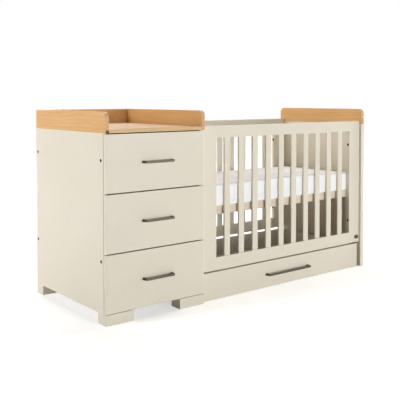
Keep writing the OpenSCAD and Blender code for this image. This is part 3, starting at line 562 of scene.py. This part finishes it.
def closed_rings(name, rings):
    """A closed mesh through outlines of the mattress at (inset, height)."""
    bm = bmesh.new()
    loops = [[bm.verts.new((x, y, crown(x, y) if z is None else z))
              for x, y in mattress_outline(inset, RING_STEP)] for inset, z in rings]
    n = len(loops[0])
    for a, b in zip(loops, loops[1:]):
        for k in range(n):
            bm.faces.new((a[k], a[(k + 1) % n], b[(k + 1) % n], b[k]))
    for loop in (loops[0], loops[-1]):
        z = sum(v.co.z for v in loop) / n
        middle = bm.verts.new((MAT_MID.x, MAT_MID.y, z))
        for k in range(n):
            bm.faces.new((loop[k], loop[(k + 1) % n], middle))
    bmesh.ops.recalc_face_normals(bm, faces=bm.faces)
    mesh = bpy.data.meshes.new(name)
    bm.to_mesh(mesh)
    bm.free()
    obj = bpy.data.objects.new(name, mesh)
    scene.collection.objects.link(obj)
    return obj


def seam_tree():
    points = [Vector((x, y, z)) for z in (LOW_SEAM, MAT_TOP) for x, y in mattress_outline(0.0, SEAM_STEP)]
    tree = KDTree(len(points))
    for index, point in enumerate(points):
        tree.insert(point, index)
    tree.balance()
    return tree


def swell(obj, seams):
    """A short cloth simulation under pressure; the cover hardly moves at its seams and where it lies down."""
    rest = [v.co.copy() for v in obj.data.vertices]
    cloth = obj.modifiers.new("cloth", "CLOTH")
    cloth.settings.quality = 4
    cloth.settings.mass = 0.3
    cloth.settings.use_pressure = True
    cloth.settings.uniform_pressure_force = 4.0
    cloth.settings.effector_weights.gravity = 0.0
    cloth.collision_settings.use_collision = False
    cloth.point_cache.frame_start, cloth.point_cache.frame_end = 1, SWELL_FRAMES
    for f in range(1, SWELL_FRAMES + 1):
        scene.frame_set(f)
    bpy.ops.object.modifier_apply(modifier="cloth")
    scene.frame_set(1)
    for v, was in zip(obj.data.vertices, rest):
        move = v.co - was
        if move.length > BULGE:
            move *= BULGE / move.length
        held = min(1.0, seams.find(was)[2] / LOOSE)
        v.co = was + move * held * (LYING if was.z < MAT_LOW + 0.003 else 1.0)


def slat_gaps():
    """From where to where each gap between two front slats reaches along X."""
    mesh = NODES["crib_front_slats"].data
    faces = ([mesh.vertices[i].co.x for i in p.vertices] for p in mesh.polygons)
    slats = []
    for low, high in sorted((min(xs), max(xs)) for xs in faces):
        if slats and low <= slats[-1][1] + SAME_SLAT:
            slats[-1][1] = max(slats[-1][1], high)
        else:
            slats.append([low, high])
    return [(a[1], b[0]) for a, b in zip(slats, slats[1:])]


GAPS = slat_gaps()


def front_limit(x):
    """How far forward the mattress reaches: to the slats, out between them, and behind the stiles."""
    field = share(min(x - rail_lo.x, rail_hi.x - x) / STILE_WAY)
    puff = sum(PUFF * (1 - abs(2 * (x - low) / (high - low) - 1) ** 6) for low, high in GAPS
               if low < x < high)
    return STILE_Y + (SLAT_Y - STILE_Y) * field - puff


def rise(x, y, z):
    """How far the front is pushed up where it presses against the slats: most left of the middle, and
    least at the end panel."""
    along = (x - MAT_LO.x) / (MAT_HI.x - MAT_LO.x)
    wave = max(0.0, math.sin(math.pi * (RISE_START + (1 - RISE_START) * along)))
    front = share(1 - (y - MAT_LO.y) / PRESSED)
    height = share((z - MAT_LO.z - RISE_FROM) / RISE_OVER)
    return (RISE_ENDS + RISE_MORE * wave) * front ** 2 * height


def press_against_slats(obj):
    """The mattress lies against the front of the crib."""
    forward = MAT_LO.y + MAT_EDGE - SLAT_Y + PUFF
    for v in obj.data.vertices:
        p = v.co
        p.z += rise(*p)
        p.y -= forward * max(0.0, 1 - (p.y - MAT_LO.y) / PRESSED)
        p.y = max(p.y, front_limit(p.x) + COVER_CLEAR)
        p.z = min(max(p.z, MAT_LO.z + OVER_BASE), MAT_HI.z + OVER_TOP)


def mattress_cover():
    """Foam in a knitted cover."""
    obj = closed_rings("mattress_cover", PROFILE)
    bpy.context.view_layer.objects.active = obj
    obj.select_set(True)
    remesh = obj.modifiers.new("remesh", "REMESH")
    remesh.mode = "VOXEL"
    remesh.voxel_size = VOXEL
    bpy.ops.object.modifier_apply(modifier="remesh")
    seams = seam_tree()
    swell(obj, seams)
    for v in obj.data.vertices:  # the slight unevenness of a quilted cover
        p = v.co
        if p.z > MAT_LOW + 0.01:
            loose = min(1.0, seams.find(p)[2] / LOOSE)
            p.z += UNEVEN_UP * loose * noise.noise(Vector((p.x * 9, p.y * 9, p.z * 9)))
            p.y -= UNEVEN_OUT * loose * noise.noise(Vector((p.x * 13, p.y * 5, p.z * 15 + 4)))
    press_against_slats(obj)
    sub = obj.modifiers.new("subdivision", "SUBSURF")
    sub.levels = sub.render_levels = 1
    for p in obj.data.polygons:
        p.use_smooth = True
    wear(obj, KNIT)
    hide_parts("mattress")
    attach(obj, "frame")
    bpy.context.view_layer.update()
    return obj


def piping(name, z, cover):
    """A cord sewn on along a seam of the cover, in a cloth greyer than the cover: painted shade for the
    shadow line along the seam.
    """
    curve = bpy.data.curves.new(name, "CURVE")
    curve.dimensions = "3D"
    curve.bevel_depth = CORD_RADIUS
    curve.bevel_resolution = 3
    points = mattress_outline(-0.001, PIPING_STEP)
    spline = curve.splines.new("POLY")
    spline.points.add(len(points) - 1)
    spline.use_cyclic_u = True
    for point, (x, y) in zip(spline.points, points):
        found, normal = cover.find_nearest(Vector((x, y, z + rise(x, y, z))))[:2]
        place = found + normal * CORD_OUT
        place.y = max(place.y, front_limit(place.x) + CORD_CLEAR)
        point.co = (*place, 1)
    obj = bpy.data.objects.new(name, curve)
    scene.collection.objects.link(obj)
    # the greyer cord cloth is painted shade along the seam
    curve.materials.append(CORD_IN_PAINTED_SHADE)
    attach(obj, "frame")


cover_tree = BVHTree.FromObject(mattress_cover(), bpy.context.evaluated_depsgraph_get())
piping("mattress_piping_top", MAT_TOP + 0.001, cover_tree)
piping("mattress_piping_bottom", LOW_SEAM, cover_tree)

# ---------------------------------------------------------------- floor
NEAR, FAR = 1.0, 2.6               # the floor turns to plain white between these distances from the middle
NEAR_GLOW = 0.55                   # and keeps a faint shadow near the object
WIDE = (0.7, 1.0, 1.0)             # distances along X count less, as the object is long

floor_mesh = bpy.data.meshes.new("floor")
floor_mesh.from_pydata([(-9, -7, 0), (9, -7, 0), (9, 9, 0), (-9, 9, 0)], [], [(0, 1, 2, 3)])
floor = bpy.data.objects.new("floor", floor_mesh)
scene.collection.objects.link(floor)
ground = Mat("floor")
ground.set(Base_Color=(0.78, 0.76, 0.72, 1), Roughness=0.9, Specular_IOR_Level=0.0)
path = ground.add("ShaderNodeLightPath")
glow = ground.add("ShaderNodeEmission", Color=(1, 1, 1, 1))
reach = ground.add("ShaderNodeVectorMath", operation="LENGTH")
ground.link(ground.mapped(WIDE), reach.inputs[0])
seen = ground.math("MAXIMUM", path.outputs["Is Camera Ray"], path.outputs["Is Glossy Ray"])
amount = ground.span(reach.outputs["Value"], NEAR, FAR, NEAR_GLOW, 1.0)
ground.link(ground.math("MULTIPLY", seen, amount), glow.inputs["Strength"])
both = ground.add("ShaderNodeAddShader")
ground.link(ground.bsdf.outputs[0], both.inputs[0])
ground.link(glow.outputs[0], both.inputs[1])
ground.link(both.outputs[0], ground.out.inputs["Surface"])
floor.data.materials.append(ground.mat)
